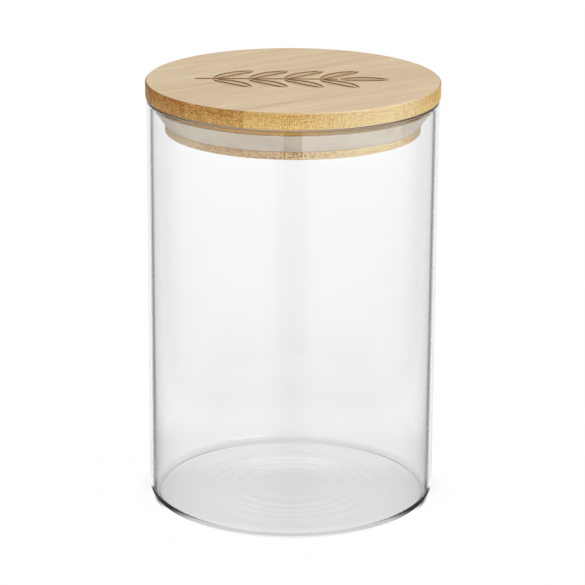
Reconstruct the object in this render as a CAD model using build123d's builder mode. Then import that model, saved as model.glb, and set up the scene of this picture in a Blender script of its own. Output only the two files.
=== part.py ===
from build123d import *
import os

# A closed storage canister: a straight glass jar, a lid turned from three glued plies of bamboo strips,
# and a silicone ring in the groove of the lid's plug.
# Millimetres and degrees. Z is up and the origin is in the middle of the base.

# Glass jar
jar_diameter = 99.2
jar_height = 141.8
wall = 2.1
rim_flat = 1.1
floor_thickness = 1.5
floor_corner_radius = 2.3
base_corner_radius = 4.0

# Shallow rings under the base, from the foot inwards, with a small step up to each next one
foot_ring_width = 4.2
outer_ring_width = 8.8
second_ring_width = 5.2
third_ring_width = 3.7
fourth_ring_width = 4.7
inner_ring_width = 7.0
step_rise = 0.08
soft_step_run = 3.0
crisp_step_run = 1.1
step_blend = 1.5

# Turned shape of the lid: a disc, and below it the plug with its collar, groove and flange
disc_overhang = 0.4
disc_thickness = 5.6
disc_chamfer = 0.4
rim_gap = 0.5
collar_height = 3.7
groove_height = 5.0
groove_depth = 3.0
flange_gap = 4.1
flange_height = 2.7
flange_chamfer = 0.4

# Silicone ring: a band that sits in the groove and a thin lip that flares up to the glass
groove_clearance = 0.1
band_thickness = 1.6
web_height = 2.0
lip_height = 6.1
lip_edge = 0.9
lip_edge_radius = 0.15
lip_gap = 0.2
lip_to_collar = 0.37

# Bamboo boards of the three plies: strips side by side along the grain, and what is turned off their width
strips_per_ply = 5
board_trim = 5.0
grain_angle = 36.0
outer_ply_offset = 2.6
core_ply_offset = -3.0

# Leaf sprig engraved in the lid
sprig_length = 66.0
leaf_pairs = 4
leaf_length = 18.0
leaf_width = 7.0
leaf_angle = 42.0
midrib_width = 0.9
stem_width = 1.4
engraving_depth = 0.35

# Levels and radii that follow from the sizes above
jar_radius = jar_diameter / 2
bore_radius = jar_radius - wall
lid_radius = jar_radius + disc_overhang
flange_radius = bore_radius - flange_gap
groove_radius = flange_radius - groove_depth
disc_underside = jar_height + rim_gap
lid_top = disc_underside + disc_thickness
groove_top = disc_underside - collar_height
flange_top = groove_top - groove_height
plug_bottom = flange_top - flange_height
core_bottom = (disc_underside + plug_bottom) / 2
strip_width = (2 * lid_radius + board_trim) / strips_per_ply

os.makedirs("parts", exist_ok=True)


def save(piece, name):
    """Label a finished piece and write it as its own file."""
    piece.label = name
    export_step(piece, f"parts/{name}.step")
    print(f"{name}: {len(piece.solids())} solid, {piece.volume / 1000:.2f} cm3")


def outline(corners):
    """Draw a closed outline through corners of (radius, height, corner radius)."""
    points = [(radius, height) for radius, height, blend in corners]
    blends = [blend for radius, height, blend in corners]
    FilletPolyline(*points, radius=blends, close=True)


# Jar: wall and floor are one piece of glass, with a rounded rim and shallow stepped rings under the base
foot_step_radius = jar_radius - base_corner_radius - foot_ring_width
outer_step_radius = foot_step_radius - outer_ring_width
second_step_radius = outer_step_radius - second_ring_width
third_step_radius = second_step_radius - third_ring_width
fourth_step_radius = third_step_radius - fourth_ring_width
centre_step_radius = fourth_step_radius - inner_ring_width
steps = [
    (centre_step_radius, soft_step_run),
    (fourth_step_radius, crisp_step_run),
    (third_step_radius, crisp_step_run),
    (second_step_radius, crisp_step_run),
    (outer_step_radius, soft_step_run),
    (foot_step_radius, soft_step_run),
]
step_level = len(steps) * step_rise
underside = [(0, step_level, 0)]
for step_radius, step_run in steps:
    underside.append((step_radius - step_run / 2, step_level, step_blend))
    step_level -= step_rise
    underside.append((step_radius + step_run / 2, step_level, step_blend))
rim_blend = (wall - rim_flat) / 2
wall_and_floor = [
    (jar_radius, 0, base_corner_radius),
    (jar_radius, jar_height, rim_blend),
    (bore_radius, jar_height, rim_blend),
    (bore_radius, floor_thickness, floor_corner_radius),
    (0, floor_thickness, 0),
]
with BuildPart() as jar:
    with BuildSketch(Plane.XZ):
        with BuildLine():
            outline(underside + wall_and_floor)
        make_face()
    revolve(axis=Axis.Z)
save(jar.part, "glass_jar")

# Silicone ring, flush with the flange below and flaring to the bore above
ring_inner_radius = groove_radius + groove_clearance
ring_bottom = flange_top + groove_clearance
band_radius = ring_inner_radius + band_thickness
band_top = groove_top - groove_clearance
web_top = ring_bottom + web_height
lip_radius = bore_radius - lip_gap
lip_top = ring_bottom + lip_height
with BuildPart() as ring:
    with BuildSketch(Plane.XZ):
        with BuildLine():
            outline(
                [
                    (ring_inner_radius, ring_bottom, 0),
                    (flange_radius, ring_bottom, 0),
                    (lip_radius, lip_top, lip_edge_radius),
                    (lip_radius - lip_edge, lip_top, lip_edge_radius),
                    (band_radius, web_top, 0),
                    (band_radius, band_top, 0),
                    (ring_inner_radius, band_top, 0),
                ]
            )
        make_face()
    revolve(axis=Axis.Z)
save(ring.part, "seal_ring")

# One leaf of the sprig, from its foot at the origin to its tip, with its midrib left standing
with BuildSketch() as leaf:
    with BuildLine():
        ThreePointArc((0, 0), (leaf_length / 2, leaf_width / 2), (leaf_length, 0))
        ThreePointArc((leaf_length, 0), (leaf_length / 2, -leaf_width / 2), (0, 0))
    make_face()
    with Locations((leaf_length / 2, 0)):
        Rectangle(leaf_length, midrib_width, mode=Mode.SUBTRACT)

# Lid blank: the whole turned and engraved lid, before it is taken apart into its strips. The collar stands
# inside the flared lip, so its radius follows the lip's inner face at the collar's lower edge.
lip_flare = (lip_radius - lip_edge - band_radius) / (lip_top - web_top)
collar_radius = band_radius + (groove_top - web_top) * lip_flare - lip_to_collar
stem_length = sprig_length - leaf_length
leaf_pitch = stem_length / leaf_pairs
with BuildPart() as lid_blank:
    with BuildSketch(Plane.XZ):
        with BuildLine():
            outline(
                [
                    (0, lid_top, 0),
                    (0, plug_bottom, 0),
                    (flange_radius - flange_chamfer, plug_bottom, 0),
                    (flange_radius, plug_bottom + flange_chamfer, 0),
                    (flange_radius, flange_top, 0),
                    (groove_radius, flange_top, 0),
                    (groove_radius, groove_top, 0),
                    (collar_radius, groove_top, 0),
                    (collar_radius, disc_underside, 0),
                    (lid_radius - disc_chamfer, disc_underside, 0),
                    (lid_radius, disc_underside + disc_chamfer, 0),
                    (lid_radius, lid_top - disc_chamfer, 0),
                    (lid_radius - disc_chamfer, lid_top, 0),
                ]
            )
        make_face()
    revolve(axis=Axis.Z)
    with BuildSketch(Plane.XY.offset(lid_top)):
        with Locations((-leaf_length / 2, 0)):
            Rectangle(stem_length, stem_width)
        with Locations((sprig_length / 2 - leaf_length, 0)):
            add(leaf.sketch)
        for pair in range(leaf_pairs):
            foot = (pair + 0.5) * leaf_pitch - sprig_length / 2
            for side in (-1, 1):
                with Locations(Location((foot, side * stem_width / 2), side * leaf_angle)):
                    add(leaf.sketch)
    extrude(amount=-engraving_depth, mode=Mode.SUBTRACT)


def save_ply(name, bottom, top, offset):
    """Cut one ply of the lid along its glue lines, and number its strips from the front."""
    middle_joint = (strips_per_ply - 2) / 2
    joints = [offset + (joint - middle_joint) * strip_width for joint in range(strips_per_ply - 1)]
    edges = [-2 * lid_radius, *joints, 2 * lid_radius]
    for number, (front, back) in enumerate(zip(edges, edges[1:]), start=1):
        with BuildPart() as strip:
            add(lid_blank.part)
            with BuildSketch(Plane.XY.offset(bottom).rotated((0, 0, grain_angle))):
                with Locations((0, (front + back) / 2)):
                    Rectangle(4 * lid_radius, back - front)
            extrude(amount=top - bottom, mode=Mode.INTERSECT)
        save(strip.part, f"{name}_strip_{number}")


# Plies of the lid: the disc above, the collar and the flange below, with staggered joints
save_ply("lid_top", disc_underside, lid_top, outer_ply_offset)
save_ply("lid_core", core_bottom, disc_underside, core_ply_offset)
save_ply("lid_base", plug_bottom, core_bottom, outer_ply_offset)
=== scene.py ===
# %% [markdown]
# # A glass canister with a bamboo lid
# The canister is a straight glass jar, a lid turned from three glued plies of bamboo strips, and a flared
# silicone ring in the groove of the lid's plug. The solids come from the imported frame, at their real
# size. This lesson gives them their finishes, replaces the coarse glass by a finely spun one, and lights
# them as a product photograph on white is lit.

# %% Load the frame
import math

import bmesh
import bpy
from mathutils import Matrix, Vector


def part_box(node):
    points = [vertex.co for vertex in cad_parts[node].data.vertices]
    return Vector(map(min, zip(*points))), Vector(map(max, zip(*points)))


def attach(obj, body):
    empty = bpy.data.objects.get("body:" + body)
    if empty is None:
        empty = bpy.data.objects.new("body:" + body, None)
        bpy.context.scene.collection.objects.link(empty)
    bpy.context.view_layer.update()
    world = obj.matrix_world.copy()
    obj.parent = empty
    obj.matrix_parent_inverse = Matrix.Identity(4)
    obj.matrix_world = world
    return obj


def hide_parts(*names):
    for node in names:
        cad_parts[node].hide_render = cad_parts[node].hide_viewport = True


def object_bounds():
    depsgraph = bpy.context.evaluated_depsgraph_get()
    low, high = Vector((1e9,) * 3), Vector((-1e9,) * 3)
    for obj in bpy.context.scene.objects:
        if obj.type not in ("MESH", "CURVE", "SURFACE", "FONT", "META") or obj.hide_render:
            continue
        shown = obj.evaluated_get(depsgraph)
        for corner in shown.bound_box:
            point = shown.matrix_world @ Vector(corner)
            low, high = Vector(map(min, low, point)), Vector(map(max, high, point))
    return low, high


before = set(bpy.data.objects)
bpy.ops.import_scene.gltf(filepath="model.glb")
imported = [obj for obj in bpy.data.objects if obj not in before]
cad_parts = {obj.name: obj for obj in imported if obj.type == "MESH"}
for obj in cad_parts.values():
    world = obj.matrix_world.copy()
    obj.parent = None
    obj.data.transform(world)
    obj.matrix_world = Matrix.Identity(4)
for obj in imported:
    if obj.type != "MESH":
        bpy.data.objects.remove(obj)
cad_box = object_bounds()
MM = 0.001
print("nodes in the frame:", len(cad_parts))
print("CAD box:", [tuple(point) for point in cad_box])

# %% [markdown]
# ## The camera
# The photograph is taken from a little above, through a long lens. The lens and the place of the camera
# are those that lay the lid's and the base's ellipses over the photograph's, with no shift.

# %% Camera
IMAGE_WIDTH = 585
FOCAL_PIXELS = 2678.0
SENSOR_WIDTH = 36.0
CAMERA_PLACE = (0.0002, -0.8853, 0.3479)
CAMERA_PITCH = math.radians(-17.29)
CAMERA_ROLL = math.radians(0.34)

camera = bpy.data.objects.new("camera", bpy.data.cameras.new("camera"))
bpy.context.scene.collection.objects.link(camera)
bpy.context.scene.camera = camera
camera.data.sensor_width = SENSOR_WIDTH
camera.data.lens = FOCAL_PIXELS / IMAGE_WIDTH * SENSOR_WIDTH
level_view = Matrix.Rotation(math.radians(90) + CAMERA_PITCH, 4, "X")
camera.matrix_world = Matrix.Translation(CAMERA_PLACE) @ level_view @ Matrix.Rotation(CAMERA_ROLL, 4, "Z")
bpy.context.scene.view_settings.view_transform = "Standard"
print("lens in mm:", round(camera.data.lens, 1))

# %% [markdown]
# ## A pen for shader nodes
# A finish is a sum of small terms, and a sum is easier to read as one line than as a web of nodes. The
# class below holds one socket. Arithmetic on it adds Math nodes, and its one other method adds any node,
# sets its settings first, and then the values or links of its sockets.


# %% Shader pen
class Pen:
    """One socket of a node tree, with arithmetic that adds Math nodes."""

    def __init__(self, tree, socket=None):
        self.tree = tree
        self.socket = socket

    def node(self, kind, settings=None, inputs=None, output=0):
        """Add a node of this kind and return a pen on one of its outputs."""
        made = self.tree.nodes.new("ShaderNode" + kind)
        for name, value in (settings or {}).items():
            setattr(made, name, value)
        for name, value in (inputs or {}).items():
            if isinstance(value, Pen):
                self.tree.links.new(value.socket, made.inputs[name])
            else:
                made.inputs[name].default_value = value
        return Pen(self.tree, made.outputs[output])

    def math(self, operation, *terms):
        """Add a Math node on these terms."""
        return self.node("Math", {"operation": operation}, dict(enumerate(terms)))

    def __add__(self, other):
        return self.math("ADD", self, other)

    def __sub__(self, other):
        return self.math("SUBTRACT", self, other)

    def __rsub__(self, other):
        return self.math("SUBTRACT", other, self)

    def __mul__(self, other):
        return self.math("MULTIPLY", self, other)

    def __truediv__(self, other):
        return self.math("DIVIDE", self, other)

    def __pow__(self, other):
        return self.math("POWER", self, other)

    def __abs__(self):
        return self.math("ABSOLUTE", self)

    __radd__ = __add__
    __rmul__ = __mul__


print("shader pen ready")

# %% [markdown]
# ## Small tools for finishes
# Every finish below needs the same few things: a soft step, a blend of two colours, the parts of a
# vector, and a material to put them in. A soft step could be a colour ramp, but a Map Range node takes
# its two limits as plain numbers, which can then have names.

# %% Steps, blends and materials
BLACK = (0, 0, 0, 1)
WHITE = (1, 1, 1, 1)


def rise(value, low, high):
    """A smooth step from 0 below low to 1 above high."""
    limits = {"From Min": low, "From Max": high}
    return value.node("MapRange", {"interpolation_type": "SMOOTHSTEP"}, {"Value": value, **limits})


def blend(factor, first, second):
    """A colour between two colours."""
    return factor.node("Mix", {"data_type": "RGBA"}, {0: factor, 6: first, 7: second}, 2)


def split(pen, vector):
    """The three parts of a vector."""
    return [pen.node("SeparateXYZ", inputs={"Vector": vector}, output=axis) for axis in "XYZ"]


def srgb(red, green, blue):
    """A colour as it is read from a picture, from 0 to 255, as the linear colour that a shader takes."""
    shares = [value / 255 for value in (red, green, blue)]
    return tuple(((share + 0.055) / 1.055) ** 2.4 for share in shares) + (1.0,)


def new_material(name):
    """An empty material, a pen on its tree, and its main shader."""
    material = bpy.data.materials.new(name)
    material.use_nodes = True
    tree = material.node_tree
    return material, Pen(tree), tree.nodes["Principled BSDF"]


def plug_in(shader, sockets):
    """Set or link the main shader's sockets."""
    for name, value in sockets.items():
        if isinstance(value, Pen):
            value.tree.links.new(value.socket, shader.inputs[name])
        else:
            shader.inputs[name].default_value = value


print("middle grey as a shader takes it:", round(srgb(128, 128, 128)[0], 3))

# %% [markdown]
# ## What a ray has met
# Clear glass splits the light many times, and the picture on white needs some of those ways to be told
# apart. The Light Path node counts what a ray has met so far: the faces of glass that it went through,
# its mirror reflections, and the rough surfaces it was scattered by. It knows nothing about where the
# camera stands, so what is built on it stays right from every side.

# %% Light paths
SECOND_GLASS_FACE = (1.4, 1.6)
THIRD_GLASS_FACE = (2.4, 2.6)
INSIDE_DIP = 0.65


def light_path(pen, output):
    """One fact about the ray that meets a surface or the world."""
    return pen.node("LightPath", output=output)


def once(value):
    """A count held to 1."""
    return value.math("MINIMUM", value, 1)


def unscattered(pen):
    """1 on a ray that has met no rough surface."""
    return 1 - once(light_path(pen, "Diffuse Depth"))


def plain_view(pen):
    """1 on a ray that comes from the camera, straight or through clear glass, and 0 after any bounce."""
    seen = light_path(pen, "Is Camera Ray") + light_path(pen, "Is Transmission Ray")
    bounces = light_path(pen, "Diffuse Depth") + light_path(pen, "Glossy Depth")
    return once(seen) * (1 - once(bounces))


def inside_level(pen):
    """1 on most rays, and less on one that comes out of the glass after a reflection inside it."""
    inside = rise(light_path(pen, "Transmission Depth"), *SECOND_GLASS_FACE)
    return 1 - inside * unscattered(pen) * INSIDE_DIP


print("share of the studio in a reflection from inside:", round(1 - INSIDE_DIP, 2))

# %% [markdown]
# ## The studio
# Clear glass has no colour of its own: it shows what stands round it. A jar on white is lit by two tall
# white panels in front, one at each side of the camera, and a white sweep behind. What lies between them
# is dark, and that draws the grey lines along the edges of the glass. The panels could be lamps, but they
# have to reach below the table, where the upright glass looks. So the studio is the world itself. It is
# white to the camera and straight through the glass, and shows the panels to reflections and to the light
# on rough surfaces. A reflection from inside the glass shows them dimmer, as the photograph does.

# %% Studio walls
SWEEP_EDGE = (math.radians(30), math.radians(38))
PANEL_OUTER_EDGE = (math.radians(81), math.radians(84))
PANEL_INNER_EDGE = (math.radians(172.6), math.radians(173.3))
PANEL_CHANGE = (-0.05, 0.05)
DARK_LEVEL = 0.2
LEFT_PANEL_LEVEL = 1.25
RIGHT_PANEL_LEVEL = 1.9


def round_the_jar(pen, across, ahead):
    """The turn from straight behind the jar, and the brightness of a panel at that side."""
    turn = abs(pen.math("ARCTAN2", across, ahead))
    right_side = rise(across, *PANEL_CHANGE)
    return turn, LEFT_PANEL_LEVEL + right_side * (RIGHT_PANEL_LEVEL - LEFT_PANEL_LEVEL)


def wall_level(turn, panel_level, sweep_level):
    """How bright the studio is at a turn: a sweep behind, a panel at each front side, and dark between."""
    sweep = 1 - rise(turn, *SWEEP_EDGE)
    panels = rise(turn, *PANEL_OUTER_EDGE) * (1 - rise(turn, *PANEL_INNER_EDGE))
    return DARK_LEVEL + sweep * (sweep_level - DARK_LEVEL) + panels * (panel_level - DARK_LEVEL)


print("panel width in degrees:", round(math.degrees(PANEL_INNER_EDGE[0] - PANEL_OUTER_EDGE[1]), 1))

# %% World
SWEEP_FADE = (0.0, 0.28)
SWEEP_DIP = 0.55
CEILING_EDGE = (0.35, 0.75)
CEILING_LEVEL = 0.85

world = bpy.data.worlds.new("studio")
bpy.context.scene.world = world
world.use_nodes = True
pen = Pen(world.node_tree)
across, ahead, height = split(pen, pen.node("TexCoord", output="Generated"))
turn, panel_level = round_the_jar(pen, across, ahead)
walls = wall_level(turn, panel_level, 1 - rise(height, *SWEEP_FADE) * SWEEP_DIP)
ceiling = rise(height, *CEILING_EDGE)
studio = walls * (1 - ceiling) + ceiling * CEILING_LEVEL
white_view = plain_view(pen)
strength = studio * inside_level(pen) * (1 - white_view) + white_view
background = world.node_tree.nodes["Background"]
background.inputs["Color"].default_value = WHITE
world.node_tree.links.new(strength.socket, background.inputs["Strength"])
print("studio nodes:", len(world.node_tree.nodes))

# %% [markdown]
# ## The floor
# The canister stands on a white table that runs into the sweep. A sheet bent up behind would be the
# studio's way, but from the other sides it would hide the jar. So the table is a flat disc, wide enough
# for the lid's shadow and for what the glass mirrors, and beyond its rim the white world takes over. It
# lies a hair below the jar, so that the two never share a face.

# %% Floor disc
FLOOR_RADIUS = 0.75
FLOOR_DROP = 0.2 * MM
FLOOR_SEGMENTS = 128

shape = bmesh.new()
bmesh.ops.create_circle(shape, cap_ends=True, segments=FLOOR_SEGMENTS, radius=FLOOR_RADIUS)
bmesh.ops.translate(shape, verts=shape.verts, vec=(0, 0, -FLOOR_DROP))
floor_mesh = bpy.data.meshes.new("floor")
shape.to_mesh(floor_mesh)
shape.free()
floor = bpy.data.objects.new("floor", floor_mesh)
bpy.context.scene.collection.objects.link(floor)
floor_material, pen, floor_shader = new_material("white_floor")
floor_mesh.materials.append(floor_material)
print("floor radius in m:", FLOOR_RADIUS)

# %% [markdown]
# ## Painted light and shade under the jar
# Glass that stands on paper gathers light under its base and casts fine shadows where it touches. Here
# they are painted on the paper. The paper is painted brighter under the base, most of all at the back.
# There a thin dark line of painted contact shadow marks the foot's ring, and a soft painted shade lies
# outside it at the heel. At the sides, two short dark marks of painted contact shadow lie where the base's
# round corner nears the paper. A faint painted shade runs backwards from the jar. Traced light would need
# very many samples for marks this fine, so they are drawn from the distance to the jar's axis.

# %% Painted shadows and light on the paper
UNDER_EDGE = (0.0440, 0.0458)
# painted light: the paper under the base is brighter, most of all at the back
UNDER_LIGHT_LEVEL = 1.07
UNDER_LIGHT_LIFT = 0.16
UNDER_LIGHT_LIFT_EDGE = (0.005, 0.03)
FOOT_NARROWING = 0.934
FOOT_INNER_EDGE = (0.0431, 0.0435)
FOOT_OUTER_EDGE = (0.0441, 0.0445)
FOOT_SHADOW_DIP = 0.32
HEEL_EDGE = (0.049, 0.0555)
HEEL_SHADE_DIP = 0.1
BACK_EDGE = (-0.02, 0.015)
CONTACT_INNER_EDGE = (0.0464, 0.0474)
CONTACT_OUTER_EDGE = (0.0478, 0.0490)
CONTACT_FRONT = (-0.022, -0.012)
CONTACT_BACK = (-0.012, -0.003)
CONTACT_SHADOW_DIP = 0.8
SHADE_START = (0, 0.03)
SHADE_LENGTH = (0.08, 0.22)
SHADE_SIDE = (0.03, 0.05)
SHADE_DIP = 0.07

across, ahead = split(pen, pen.node("TexCoord", output="Object"))[:2]
distance = (across * across + ahead * ahead) ** 0.5
outside = rise(distance, *UNDER_EDGE)
at_back = rise(ahead, *BACK_EDGE)
narrowed = across * FOOT_NARROWING
foot_distance = (narrowed * narrowed + ahead * ahead) ** 0.5
# painted contact shadow: a thin dark line along the foot's ring at the back
foot = rise(foot_distance, *FOOT_INNER_EDGE) * (1 - rise(foot_distance, *FOOT_OUTER_EDGE)) * at_back
# painted shade at the heel, just outside the foot's ring
heel_shade = rise(foot_distance, *FOOT_OUTER_EDGE) * (1 - rise(distance, *HEEL_EDGE)) * at_back
# painted contact shadow: two short dark marks at the sides, near the base's round corner
contact_shadow_ring = rise(distance, *CONTACT_INNER_EDGE) * (1 - rise(distance, *CONTACT_OUTER_EDGE))
contact_shadow = contact_shadow_ring * rise(ahead, *CONTACT_FRONT) * (1 - rise(ahead, *CONTACT_BACK)) * CONTACT_SHADOW_DIP
# painted shade that runs backwards from the jar
shade_length = rise(ahead, *SHADE_START) * (1 - rise(ahead, *SHADE_LENGTH))
shade = shade_length * (1 - rise(abs(across), *SHADE_SIDE))
# painted light: the brighter paper under the base
under_light_level = UNDER_LIGHT_LEVEL + rise(ahead, *UNDER_LIGHT_LIFT_EDGE) * UNDER_LIGHT_LIFT
open_level = 1 - shade * SHADE_DIP
table_level = under_light_level + outside * (open_level - under_light_level) - foot * FOOT_SHADOW_DIP - heel_shade * HEEL_SHADE_DIP
paper_level = table_level * (1 - contact_shadow)
print("foot line at the back, in mm from the axis:", round(FOOT_OUTER_EDGE[0] / MM, 1))

# %% [markdown]
# ## White paper
# Paper in full studio light is white up to the horizon, and more lamps would only bleach the lid. So most
# of the paper's brightness is its own. The rest is lit and takes the lid's soft shadow, and that share is
# largest under the base.

# %% Paper
FLOOR_COLOUR = (0.9, 0.9, 0.9, 1)
# painted shade: the lit share of the paper is darker under the base
UNDER_SHADE_COLOUR = (0.8, 0.8, 0.8, 1)
UNDER_SHARE = 0.78
SHADOW_SHARE = 0.98
SHADOW_EDGE = (0.055, 0.12)

past_shadow = rise(distance, *SHADOW_EDGE)
own_light = UNDER_SHARE + outside * (SHADOW_SHARE - UNDER_SHARE) + past_shadow * (1 - SHADOW_SHARE)
# the lit paper is painted darker under the base, and black in the painted contact shadows
paper_colour = blend(contact_shadow, blend(outside, UNDER_SHADE_COLOUR, FLOOR_COLOUR), BLACK)
plug_in(floor_shader, {"Base Color": paper_colour, "Roughness": 1.0, "Specular IOR Level": 0.0})
lit = Pen(pen.tree, floor_shader.outputs["BSDF"])
glow = pen.node("Emission", inputs={"Strength": paper_level})
paper = pen.node("MixShader", inputs={0: own_light, 1: lit, 2: glow})
print("paper's own light under the jar and outside:", UNDER_SHARE, SHADOW_SHARE)

# %% [markdown]
# ## The table as the glass mirrors it
# Upright glass mirrors the table round it, and a studio's table isn't evenly white: it is bright before
# the sweep, dark under the cards at the sides, and dim in front, where it grows lighter up to the feet of
# the panels. Cards could be modelled, but they would shade the lid and stand in the way of other views.
# So the floor has a second look, for rays that the glass reflected. It is measured from the jar's axis
# and, where a sharp edge has to meet the edge of the glass, from the side of the jar. A ray that also
# went through the jar has a longer way behind it, and sees softer edges and no dark card.

# %% Mirrored sides
JAR_SIDE = (0.0485, -0.0102)
MIRROR_DARK = 0.03
MIRROR_DARK_SLOPE = 0.1
MIRROR_SIDE = 0.42
MIRROR_SIDE_SLOPE = 0.28
MIRROR_SIDE_EDGE = (math.radians(29.8), math.radians(32))
MIRROR_SIDE_START = (0.055, 0.061)
MIRROR_FAR_SIDE_EDGE = (math.radians(64), math.radians(85))
MIRROR_FRONT = 0.18
MIRROR_FRONT_SLOPE = 1.45
CORNER_EDGE = (0.051, 0.057)
CORNER_SIDE = (0.026, 0.040)

turn, panel_level = round_the_jar(pen, across, ahead)
side_turn = pen.math("ARCTAN2", abs(across) - JAR_SIDE[0], ahead - JAR_SIDE[1])
short_way = 1 - rise(light_path(pen, "Transmission Depth"), *THIRD_GLASS_FACE)
dark_card = MIRROR_DARK + distance * MIRROR_DARK_SLOPE
open_side = MIRROR_SIDE + distance * MIRROR_SIDE_SLOPE
corner_shade = (1 - rise(distance, *CORNER_EDGE)) * rise(abs(across), *CORNER_SIDE)
open_floor = (MIRROR_FRONT + distance * MIRROR_FRONT_SLOPE) * (1 - corner_shade)
far_side = open_side + rise(side_turn, *MIRROR_FAR_SIDE_EDGE) * (open_floor - open_side)
past_card = rise(side_turn, *MIRROR_SIDE_EDGE) * rise(distance, *MIRROR_SIDE_START)
sides = far_side + short_way * (1 - past_card) * (dark_card - far_side)
print("side of the jar in mm:", [round(value / MM, 1) for value in JAR_SIDE])

# %% Mirrored front and back
MIRROR_FRONT_EDGE = (math.radians(86), math.radians(91))
LANE_EDGE = (math.radians(158), math.radians(178))
LANE_DIP = 0.42
LANE_LEAST = 0.02
PANEL_FEET = (0.55, 0.585)
BEHIND_EDGE = (math.radians(25.6), math.radians(27))
BEHIND_START = (-0.001, 0.003)
FAR_BEHIND_EDGE = (math.radians(8), math.radians(40))
FAR_BEHIND_START = (-0.005, 0.02)

near_front = pen.math("MAXIMUM", open_floor - rise(turn, *LANE_EDGE) * LANE_DIP, LANE_LEAST)
gap = rise(turn, *PANEL_INNER_EDGE)
feet = panel_level * (1 - gap) + gap * DARK_LEVEL
front = near_front + rise(distance, *PANEL_FEET) * (feet - near_front)
near_behind = (1 - rise(side_turn, *BEHIND_EDGE)) * rise(ahead, *BEHIND_START)
far_behind = (1 - rise(turn, *FAR_BEHIND_EDGE)) * rise(ahead, *FAR_BEHIND_START)
behind = far_behind + short_way * (near_behind - far_behind)
around = sides + behind * (1 - sides) + rise(turn, *MIRROR_FRONT_EDGE) * (front - sides)
print("feet of the panels in m:", PANEL_FEET[0])

# %% [markdown]
# ## The floor's two looks
# Under the base the mirrored table has a level of its own, which falls off to the sides at the heel.
# Towards the disc's rim the mirrored table fades into the walls of the studio, so that a low view shows
# no step where the floor ends. Then both looks are joined: paper to the camera, and the mirrored table
# after a reflection.

# %% Join the looks
MIRROR_EDGE = (0.0475, 0.0496)
MIRROR_UNDER = 0.55
MIRROR_HEEL = 0.7
MIRROR_HEEL_SIDE = (0.033, 0.043)
FLOOR_RIM = (0.62, 0.74)

heel_level = MIRROR_HEEL - rise(abs(across), *MIRROR_HEEL_SIDE) * (MIRROR_HEEL - MIRROR_DARK)
far_under = MIRROR_UNDER + far_behind * (1 - MIRROR_UNDER)
under = far_under + short_way * (heel_level - far_under)
on_table = under + rise(distance, *MIRROR_EDGE) * (around - under)
beyond = wall_level(turn, panel_level, 1) * inside_level(pen)
mirror_level = on_table + rise(distance, *FLOOR_RIM) * (beyond - on_table)
mirrored = pen.node("Emission", inputs={"Strength": mirror_level})
after_reflection = once(light_path(pen, "Glossy Depth")) * unscattered(pen)
floor_look = pen.node("MixShader", inputs={0: after_reflection, 1: paper, 2: mirrored})
pen.tree.links.new(floor_look.socket, pen.tree.nodes["Material Output"].inputs["Surface"])
print("floor nodes:", len(pen.tree.nodes))

# %% [markdown]
# ## The lamp
# One broad lamp stands high at the right of the camera. It makes the right side of the lid brighter than
# the left, and is so broad that its shadows stay soft. Glass would show it as a hard bright square, so
# reflections don't see it.

# %% Key lamp
LAMP_PLACE = Vector((0.75, -0.75, 0.95))
LAMP_SIDE = 0.7
LAMP_WATTS = 2.5

lamp = bpy.data.objects.new("key_lamp", bpy.data.lights.new("key_lamp", "AREA"))
bpy.context.scene.collection.objects.link(lamp)
lamp.data.size = LAMP_SIDE
lamp.data.energy = LAMP_WATTS
lamp.location = LAMP_PLACE
lid_middle = Vector((0, 0, cad_box[1][2]))
lamp.rotation_euler = (lid_middle - LAMP_PLACE).to_track_quat("-Z", "Y").to_euler()
lamp.visible_glossy = False
print("lamp distance in m:", round((lid_middle - LAMP_PLACE).length, 2))

# %% [markdown]
# ## The glass jar
# The real jar is drawn from a glass tube: the wall is even, the rim is melted round, and the thin base is
# pressed with shallow steps, which show as arcs of light. Refraction shows every facet, so the frame's
# coarse mesh won't do. The jar's section is drawn as one flat face with square corners. A corner close to
# a rounding holds it, so that the long faces beside it stay flat when they are shaded smooth.

# %% Jar's section
WALL = 2.1 * MM
FLOOR_THICKNESS = 1.5 * MM
BASE_CORNER = 4.0 * MM
FLOOR_CORNER = 2.3 * MM
RIM_BLEND = 0.5 * MM
STEP_RISE = 0.08 * MM
STEPS = (
    (12.0 * MM, 3.0 * MM),
    (19.0 * MM, 2.2 * MM),
    (23.7 * MM, 2.2 * MM),
    (27.4 * MM, 2.2 * MM),
    (32.6 * MM, 3.0 * MM),
    (41.4 * MM, 3.0 * MM),
)
STEP_BLEND_SHARE = 0.22
STEP_SEGMENTS = 4
RIM_SEGMENTS = 8
CORNER_SEGMENTS = 12
SUPPORT = 0.8 * MM

jar_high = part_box("glass_jar")[1]
jar_radius = jar_high.x
jar_height = jar_high.z
bore_radius = jar_radius - WALL


def corner(radius, height, rounding=0.0, segments=0):
    """A corner of the jar's section, with the length that its rounding takes from each side."""
    return (radius, height, rounding, segments)


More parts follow.
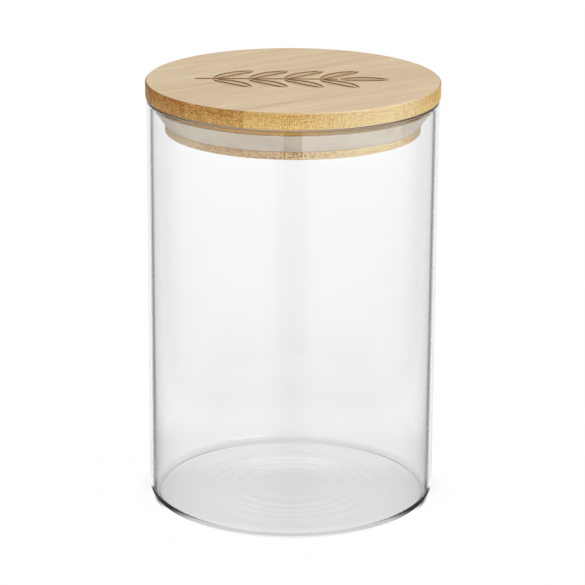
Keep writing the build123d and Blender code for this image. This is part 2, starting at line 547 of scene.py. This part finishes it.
def jar_section():
    """The section's corners, from the middle of the base outwards, up the wall and down the bore."""
    level = len(STEPS) * STEP_RISE
    section = [corner(0, level)]
    for step_radius, run in STEPS:
        rounding = STEP_BLEND_SHARE * run
        section.append(corner(step_radius - run / 2, level, rounding, STEP_SEGMENTS))
        level -= STEP_RISE
        section.append(corner(step_radius + run / 2, level, rounding, STEP_SEGMENTS))
    section.append(corner(jar_radius, 0, BASE_CORNER, CORNER_SEGMENTS))
    section.append(corner(jar_radius, BASE_CORNER + SUPPORT))
    section.append(corner(jar_radius, jar_height - RIM_BLEND - SUPPORT))
    section.append(corner(jar_radius, jar_height, RIM_BLEND, RIM_SEGMENTS))
    section.append(corner(bore_radius, jar_height, RIM_BLEND, RIM_SEGMENTS))
    section.append(corner(bore_radius, jar_height - RIM_BLEND - SUPPORT))
    section.append(corner(bore_radius, FLOOR_THICKNESS + FLOOR_CORNER + SUPPORT))
    section.append(corner(bore_radius, FLOOR_THICKNESS, FLOOR_CORNER, CORNER_SEGMENTS))
    section.append(corner(bore_radius - FLOOR_CORNER - SUPPORT, FLOOR_THICKNESS))
    section.append(corner(0, FLOOR_THICKNESS))
    return section


print("corners of the jar's section:", len(jar_section()))

# %% [markdown]
# ## Spinning the jar
# A Screw modifier could turn the section live, but a spin in the mesh lets the shell be checked at once:
# its corners are rounded by bevels, and its outline is spun round the axis in many small steps. Clear
# glass hardly dims a room, so the jar casts no shadow, and the light on the plug inside passes it as if
# it weren't there.

# %% Blown jar
SPIN_STEPS = 288
ON_AXIS = 1e-9
MERGE_DISTANCE = 1e-7


def spin_section(shape, section):
    """Round a section's corners, and spin its outline round the jar's axis into a closed shell."""
    points = [shape.verts.new((radius, 0, height)) for radius, height, rounding, segments in section]
    shape.faces.new(points)
    for point, (radius, height, rounding, segments) in zip(points, section):
        if rounding:
            bmesh.ops.bevel(
                shape, geom=[point], offset=rounding, offset_type="OFFSET", affect="VERTICES",
                segments=segments, profile=0.5, material=-1,
            )
    bmesh.ops.delete(shape, geom=shape.faces[:], context="FACES_ONLY")
    axis_edges = [edge for edge in shape.edges if all(abs(vert.co.x) < ON_AXIS for vert in edge.verts)]
    bmesh.ops.delete(shape, geom=axis_edges, context="EDGES")
    outline = shape.verts[:] + shape.edges[:]
    bmesh.ops.spin(
        shape, geom=outline, cent=(0, 0, 0), axis=(0, 0, 1), angle=math.tau, steps=SPIN_STEPS, use_merge=True
    )
    bmesh.ops.remove_doubles(shape, verts=shape.verts[:], dist=MERGE_DISTANCE)
    bmesh.ops.recalc_face_normals(shape, faces=shape.faces[:])


shape = bmesh.new()
spin_section(shape, jar_section())
for face in shape.faces:
    face.smooth = True
open_edges = [edge for edge in shape.edges if not edge.is_manifold]
jar_mesh = bpy.data.meshes.new("blown_jar")
shape.to_mesh(jar_mesh)
shape.free()
jar = bpy.data.objects.new("blown_jar", jar_mesh)
bpy.context.scene.collection.objects.link(jar)
jar.visible_diffuse = False
jar.visible_shadow = False
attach(jar, "jar")
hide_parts("glass_jar")
print("jar faces:", len(jar_mesh.polygons), "open edges:", len(open_edges))

# %% [markdown]
# ## Clear glass
# A glass shader bends and reflects light at each face, as the real wall does. A little absorption inside
# makes the base's corner and the long way through the edges greyer. A very faint ripple on the wall stands
# for the streaks that drawn glass has along its length. The base is pressed smooth, so it has none. Light
# that enters the edge of the base runs on between its two faces and would be dropped after five
# reflections, which leaves the edge black. So at the last of them the glass glows with painted light in
# place of what such a long way gathers: white from the table and brown from the lid at the rim, and both
# are dark towards the sides.

# %% Glass finish
GLASS_IOR = 1.5
GLASS_TINT = (0.80, 0.81, 0.81, 1)
GLASS_DENSITY = 20.0
RIPPLE_SPACING = (60, 60, 9)
RIPPLE_DEPTH = 0.02 * MM
RIPPLE_START = (0.003, 0.02)
LAST_REFLECTION = (4.4, 4.6)
TABLE_LIGHT = (0.95, 0.95, 0.95, 1)
SIDE_LIGHT = (0.08, 0.08, 0.08, 1)
SIDE_EDGE = (0.037, 0.045)
LID_LIGHT = (0.36, 0.28, 0.17, 1)
LID_SHADE = (0.08, 0.06, 0.04, 1)
LID_SHADE_EDGE = (0.016, 0.034)

glass, pen, shader = new_material("clear_glass")
place = pen.node("TexCoord", output="Object")
across, ahead, height = split(pen, place)
drawn = pen.node("Mapping", inputs={"Vector": place, "Scale": RIPPLE_SPACING})
ripple = pen.node("TexNoise", {"noise_dimensions": "3D"}, {"Vector": drawn, "Scale": 1.0, "Detail": 1.0})
on_wall = ripple * rise(height, *RIPPLE_START)
bump = pen.node("Bump", inputs={"Height": on_wall, "Distance": RIPPLE_DEPTH, "Strength": 1.0})
# painted light: at the last reflection the glass glows white from the table and brown from the lid
long_way = rise(light_path(pen, "Glossy Depth"), *LAST_REFLECTION)
from_table = blend(rise(abs(across), *SIDE_EDGE), TABLE_LIGHT, SIDE_LIGHT)
from_lid = blend(rise(abs(across), *LID_SHADE_EDGE), LID_LIGHT, LID_SHADE)
painted_glow = blend(rise(height, jar_height / 2, jar_height), from_table, from_lid)
plug_in(shader, {
    "Base Color": WHITE,
    "Roughness": 0.0,
    "IOR": GLASS_IOR,
    "Transmission Weight": 1.0,
    "Emission Color": blend(long_way, BLACK, painted_glow),
    "Emission Strength": 1.0,
    "Normal": bump,
})
absorption = pen.node("VolumeAbsorption", inputs={"Color": GLASS_TINT, "Density": GLASS_DENSITY})
pen.tree.links.new(absorption.socket, pen.tree.nodes["Material Output"].inputs["Volume"])
jar_mesh.materials.append(glass)
print("glass ripple in mm:", RIPPLE_DEPTH / MM)

# %% [markdown]
# ## Silicone
# The ring is moulded in milky silicone: satin, a little see-through, and faintly cloudy. A cloudy volume
# would be the true way, but it is slow and leaves grain in a thin lip. Light that scatters just under the
# surface gives the same softness, and a fine skin breaks up its shine.

# %% Silicone finish
SILICONE_LIGHT = srgb(196, 186, 169)
SILICONE_CLOUD = srgb(184, 171, 151)
SILICONE_IOR = 1.41
CLOUDS_PER_METRE = 90.0
CLOUD_EDGE = (0.35, 0.7)
SATIN = 0.34
CLOUD_ROUGHNESS = 0.16
SKIN_PER_METRE = 2500.0
SKIN_DEPTH = 0.02 * MM
SKIN_STRENGTH = 0.4
SCATTER_SHARE = 0.25
SCATTER_COLOURS = (1.0, 0.9, 0.75)
SCATTER_DEPTH = 1.5 * MM

silicone, pen, shader = new_material("milky_silicone")
place = pen.node("TexCoord", output="Object")
cloud = pen.node("TexNoise", inputs={"Vector": place, "Scale": CLOUDS_PER_METRE, "Detail": 3.0})
fine = pen.node("TexNoise", inputs={"Vector": place, "Scale": SKIN_PER_METRE, "Detail": 1.0})
skin = pen.node("Bump", inputs={"Height": fine, "Distance": SKIN_DEPTH, "Strength": SKIN_STRENGTH})
plug_in(shader, {
    "Base Color": blend(rise(cloud, *CLOUD_EDGE), SILICONE_LIGHT, SILICONE_CLOUD),
    "Roughness": SATIN + cloud * CLOUD_ROUGHNESS,
    "Subsurface Weight": SCATTER_SHARE,
    "Subsurface Radius": SCATTER_COLOURS,
    "Subsurface Scale": SCATTER_DEPTH,
    "IOR": SILICONE_IOR,
    "Normal": skin,
})
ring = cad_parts["seal_ring"]
ring.data.materials.clear()
ring.data.materials.append(silicone)
print("silicone on:", ring.name)

# %% [markdown]
# ## Bamboo
# Bamboo is straight fibre bundles in a paler ground. Cut across, each bundle is a dark dot, and the dots
# crowd together towards the outer skin of the culm. Cut along, the same bundles are long faint streaks.
# So the wood is one solid pattern, drawn out along the grain: dots in the plane across it, which wander
# slowly on their way. Every face of a strip cuts that one pattern, so dots and streaks meet at the edges
# as they do in wood.

# %% Bamboo pattern
GRAIN_ANGLE = math.radians(36)
BUNDLE_NARROWING = 1.3
BUNDLE_SCATTER = 0.65
BUNDLE_EDGE = (0.18, 0.36)
LEAST_BUNDLE = 0.7
BUNDLE_SPREAD = 0.6
WANDER = 1.4
WANDER_SPACING = (0.03, 0.05, 0.05)
NOISE_MIDDLE = 0.5


def bundle_dots(pen, grain, per_mm):
    """Dots in the plane across the grain, 1 in a bundle and 0 in the ground between."""
    slow = pen.node("VectorMath", {"operation": "MULTIPLY"}, {0: grain, 1: WANDER_SPACING})
    drift = pen.node("TexNoise", inputs={"Vector": slow, "Scale": 1.0, "Detail": 1.0}, output="Color")
    middle = (NOISE_MIDDLE, NOISE_MIDDLE, NOISE_MIDDLE)
    centred = pen.node("VectorMath", {"operation": "SUBTRACT"}, {0: drift, 1: middle})
    sideways = (0, WANDER, WANDER)
    moved = pen.node("VectorMath", {"operation": "MULTIPLY_ADD"}, {0: centred, 1: sideways, 2: grain})
    along, across, height = split(pen, moved)
    plane = pen.node("CombineXYZ", inputs={"X": across * BUNDLE_NARROWING, "Y": height})
    cells = {"voronoi_dimensions": "2D"}
    spread = {"Vector": plane, "Scale": per_mm, "Randomness": BUNDLE_SCATTER}
    distance = pen.node("TexVoronoi", cells, spread, "Distance")
    chance = pen.node("SeparateColor", inputs={"Color": pen.node("TexVoronoi", cells, spread, "Color")})
    return 1 - rise(distance / (LEAST_BUNDLE + chance * BUNDLE_SPREAD), *BUNDLE_EDGE)


def fibres(pen, grain, spacing):
    """Fine lines along the grain, from 0 to 1."""
    drawn = pen.node("VectorMath", {"operation": "MULTIPLY"}, {0: grain, 1: spacing})
    return pen.node("TexNoise", inputs={"Vector": drawn, "Scale": 1.0, "Detail": 3.0, "Roughness": 0.6})


print("bundles wander by up to, in mm:", WANDER / 2)

# %% [markdown]
# ## The engraved sprig
# A leaf sprig is burnt a third of a millimetre into the lid. The pockets are in the solids. The burnt
# brown line along their edges is finer than any mesh, so it is drawn from the sprig's own geometry: each
# leaf is the overlap of two circles, and the distance to that outline is a short formula.

# %% Sprig outline
SPRIG_LENGTH = 66.0
LEAF_PAIRS = 4
LEAF_LENGTH = 18.0
LEAF_WIDTH = 7.0
LEAF_ANGLE = math.radians(42)
MIDRIB_WIDTH = 0.9
STEM_WIDTH = 1.4


def leaf_distance(pen, along, across):
    """Distance in mm to the edge of a leaf that starts at the origin, less than 0 inside its two halves."""
    sag = LEAF_WIDTH / 2
    radius = (LEAF_LENGTH ** 2 / 4 + sag ** 2) / (2 * sag)
    side = abs(across)
    from_middle = along - LEAF_LENGTH / 2
    from_centre = side + (radius - sag)
    lens = (from_middle * from_middle + from_centre * from_centre) ** 0.5 - radius
    return pen.math("MAXIMUM", lens, MIDRIB_WIDTH / 2 - side)


def sprig_distance(pen, place):
    """Distance in mm to the nearest edge of the sprig, less than 0 in its pockets."""
    x = split(pen, place)[0] / MM
    y = abs(split(pen, place)[1] / MM)
    stem_length = SPRIG_LENGTH - LEAF_LENGTH
    stem_end = abs(x + LEAF_LENGTH / 2) - stem_length / 2
    nearest = pen.math("MAXIMUM", stem_end, y - STEM_WIDTH / 2)
    tip = leaf_distance(pen, x - (SPRIG_LENGTH / 2 - LEAF_LENGTH), y)
    nearest = pen.math("MINIMUM", nearest, tip)
    for pair in range(LEAF_PAIRS):
        foot = (pair + 0.5) * stem_length / LEAF_PAIRS - SPRIG_LENGTH / 2
        out = x - foot
        up = y - STEM_WIDTH / 2
        along = out * math.cos(LEAF_ANGLE) + up * math.sin(LEAF_ANGLE)
        across = up * math.cos(LEAF_ANGLE) - out * math.sin(LEAF_ANGLE)
        nearest = pen.math("MINIMUM", nearest, leaf_distance(pen, along, across))
    return nearest


print("sprig leaves:", 2 * LEAF_PAIRS + 1)

# %% [markdown]
# ## The colours of bamboo
# Sanded and oiled bamboo is pale straw along the grain. Its ends drink more oil, so they are golden,
# mottled and darker towards the skin of the culm. One photograph of wood on every face would smear where
# the faces turn from side to end. So each has its own colour, and how far a face cuts across the grain,
# and how level it is, are read from its normal. A level face is painted paler and less yellow, with
# fainter streaks, as painted sheen from the light above.

# %% Colours of sides and ends
STRAW = srgb(231, 212, 176)
ROSY_STRAW = srgb(224, 199, 167)
EDGE_STRAW = srgb(208, 188, 139)
STREAK = srgb(182, 148, 104)
DEEP_GOLD = srgb(163, 104, 22)
BUNDLE_BROWN = srgb(100, 58, 18)
FINE_SPACING = (0.05, 2.6, 2.6)
BROAD_SPACING = (0.012, 0.22, 0.22)
BROAD_EDGE = (0.35, 0.65)
STREAK_EDGE = (0.42, 0.75)
STREAK_SHARE = 0.65
SHEEN_STREAK_DROP = 0.29
DOT_STREAK_SHARE = 0.4
SHEEN_DOT_STREAK_DROP = 0.2
TONE_STREAK_SHARE = 0.22
SKIN_GOLD = 0.28
FINE_GOLD = 0.1
END_TONE_GOLD = 0.56
MOTTLE_LENGTH = 0.012
MOTTLE_PER_MM = 0.9
MOTTLE_STRETCH = 0.4
MOTTLE_GOLD = 0.8
MOTTLE_GOLD_RISE = 0.8
SKIN_DOT_RISE = 0.25


def side_of_strip(pen, grain, fine, dots, level, tone):
    """The colour along the grain: straw with fine streaks, with painted sheen that makes a level face paler
    and less streaked than an upright one.
    """
    broad = fibres(pen, grain, BROAD_SPACING)
    sheen_ground = blend(rise(broad, *BROAD_EDGE), STRAW, ROSY_STRAW)
    # painted sheen: a level face gets the paler ground and fainter streaks
    ground = blend(level, EDGE_STRAW, sheen_ground)
    streaks = rise(fine, *STREAK_EDGE) * (STREAK_SHARE - level * SHEEN_STREAK_DROP)
    dot_streaks = dots * (DOT_STREAK_SHARE - level * SHEEN_DOT_STREAK_DROP)
    return blend(streaks + dot_streaks + tone * TONE_STREAK_SHARE, ground, STREAK)


def end_of_strip(pen, grain, fine, dots, skin_side, end):
    """The colour across the grain: mottled gold with dark bundles, deeper towards the skin of the culm."""
    spacing = (MOTTLE_LENGTH, MOTTLE_PER_MM - end["tone"] * MOTTLE_STRETCH, MOTTLE_PER_MM)
    mottle = fibres(pen, grain, spacing) - NOISE_MIDDLE
    mottling = mottle * (MOTTLE_GOLD + end["tone"] * MOTTLE_GOLD_RISE)
    depth = skin_side * SKIN_GOLD + fine * FINE_GOLD + mottling + end["tone"] * END_TONE_GOLD
    ground = blend(depth, end["pale"], DEEP_GOLD)
    return blend(dots * (end["dot_strength"] + skin_side * SKIN_DOT_RISE), ground, BUNDLE_BROWN)


print("bamboo colours: straw along the grain, gold across it")

# %% [markdown]
# ## The bamboo finish
# The finish of one strip joins the side's and the end's colours, and adds a very shallow relief: the
# fibres stand a little proud of the ground, and open bundles are pits in the ends. On the top ply the
# sprig's pockets are a shade browner, with a burnt line along their edges.

# %% Bamboo finish
END_GRAIN_EDGE = (0.1, 0.65)
LEVEL_EDGE = (0.3, 0.9)
POCKET = srgb(204, 176, 138)
POCKET_EDGE = (-0.1, 0.1)
POCKET_SHARE = 0.75
BURNT = srgb(112, 78, 44)
BURNT_EDGE = (0.05, 0.2)
BURNT_SHARE = 0.68
FIBRE_RELIEF = 0.5
RELIEF_DEPTH = 0.04 * MM
RELIEF_STRENGTH = 0.5
OILED = 0.44
FIBRE_ROUGHNESS = 0.16
OIL_SHINE = 0.3
OIL_IOR = 1.45


def engrave(pen, place, colour):
    """Lay the sprig's pockets and their burnt edges over a colour."""
    edge = sprig_distance(pen, place)
    burnt_line = 1 - rise(abs(edge), *BURNT_EDGE)
    in_pocket = 1 - rise(edge, *POCKET_EDGE)
    pocketed = blend(in_pocket * POCKET_SHARE, colour, POCKET)
    return blend(burnt_line * BURNT_SHARE, pocketed, BURNT)


def bamboo(name, tone, end, shift, pith, skin, engraved):
    """The finish of one strip: its tone from pale to deep, the look of its ends, its place in the pattern,
    and the heights of its two faces."""
    material, pen, shader = new_material(name)
    place = pen.node("TexCoord", output="Object")
    turned = {"Vector": place, "Rotation": (0, 0, -GRAIN_ANGLE), "Scale": (1 / MM, 1 / MM, 1 / MM)}
    grain = pen.node("Mapping", inputs={**turned, "Location": shift})
    normal = pen.node("TexCoord", output="Normal")
    grain_way = (math.cos(GRAIN_ANGLE), math.sin(GRAIN_ANGLE), 0)
    end_cut = abs(pen.node("VectorMath", {"operation": "DOT_PRODUCT"}, {0: normal, 1: grain_way}, "Value"))
    end_grain = rise(end_cut, *END_GRAIN_EDGE)
    level = rise(abs(split(pen, normal)[2]), *LEVEL_EDGE)
    skin_side = rise(split(pen, place)[2], pith, skin)

    dots = bundle_dots(pen, grain, end["dots_per_mm"])
    fine = fibres(pen, grain, FINE_SPACING)
    side_colour = side_of_strip(pen, grain, fine, dots, level, tone)
    end_colour = end_of_strip(pen, grain, fine, dots, skin_side, end)
    colour = blend(end_grain, side_colour, end_colour)
    if engraved:
        colour = engrave(pen, place, colour)
    relief = fine * FIBRE_RELIEF - dots * end_grain
    bump = pen.node(
        "Bump", inputs={"Height": relief, "Distance": RELIEF_DEPTH, "Strength": RELIEF_STRENGTH}
    )
    plug_in(shader, {
        "Base Color": colour,
        "Roughness": OILED + fine * FIBRE_ROUGHNESS,
        "Specular IOR Level": OIL_SHINE,
        "IOR": OIL_IOR,
        "Normal": bump,
    })
    return material


print("relief of the fibres in mm:", RELIEF_DEPTH / MM)

# %% [markdown]
# ## Bamboo strips
# Each strip comes from another culm, so each has its own tone along the grain, its own tone at its ends,
# and its own stretch of the pattern. The plies differ too: the disc's ends are deep gold with crowded
# dots, the core's are pale and almost plain, and the base's are duller with fewer, coarser dots. The
# core's pale gold is partly painted light, bright enough to show in the shade under the disc. The core
# lies with its skin side down, as boards are turned in a lamination so that they stay flat.

# %% Finish the strips
SIDE_TONES = {
    "top": (0.05, 0.55, 0.6, 0.5, 0.4),
    "core": (0.0, 0.1, 0.2, 0.3, 0.1),
    "base": (0.4, 0.5, 0.25, 0.45, 0.3),
}
END_TONES = {
    "top": (0.1, 0.72, 1.0, 1.2, 0.8),
    "core": (0.0, 0.0, 0.1, 0.2, 0.0),
    "base": (0.4, 0.5, 0.25, 0.45, 0.3),
}
# the core's palest gold is partly painted light, for its ends in the shade under the disc
END_PALE = {"top": srgb(218, 186, 116), "core": srgb(252, 212, 118), "base": srgb(213, 192, 148)}
DOT_STRENGTH = {"top": 0.55, "core": 0.1, "base": 0.6}
DOT_STRENGTH_RISE = 0.4
DOTS_PER_MM = {"top": 1.85, "core": 1.6, "base": 1.4}
DOTS_PER_MM_DROP = 0.55
SHIFT_STEP = Vector((37.0, 11.3, 5.9))


def look_of_ends(ply, end_tone):
    """What the ends of one strip look like: their tone, palest gold, and the strength and number of dots."""
    return {
        "tone": end_tone,
        "pale": END_PALE[ply],
        "dot_strength": DOT_STRENGTH[ply] + end_tone * DOT_STRENGTH_RISE,
        "dots_per_mm": DOTS_PER_MM[ply] - end_tone * DOTS_PER_MM_DROP,
    }


strip_count = 0
for ply, side_tones in SIDE_TONES.items():
    for number, (tone, end_tone) in enumerate(zip(side_tones, END_TONES[ply]), start=1):
        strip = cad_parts[f"lid_{ply}_strip_{number}"]
        low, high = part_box(strip.name)
        strip_count += 1
        shift = SHIFT_STEP * strip_count
        pith, skin = (high.z, low.z) if ply == "core" else (low.z, high.z)
        end = look_of_ends(ply, end_tone)
        finish = bamboo(f"bamboo_{ply}_{number}", tone, end, shift, pith, skin, ply == "top")
        strip.data.materials.clear()
        strip.data.materials.append(finish)
print("bamboo strips:", strip_count)
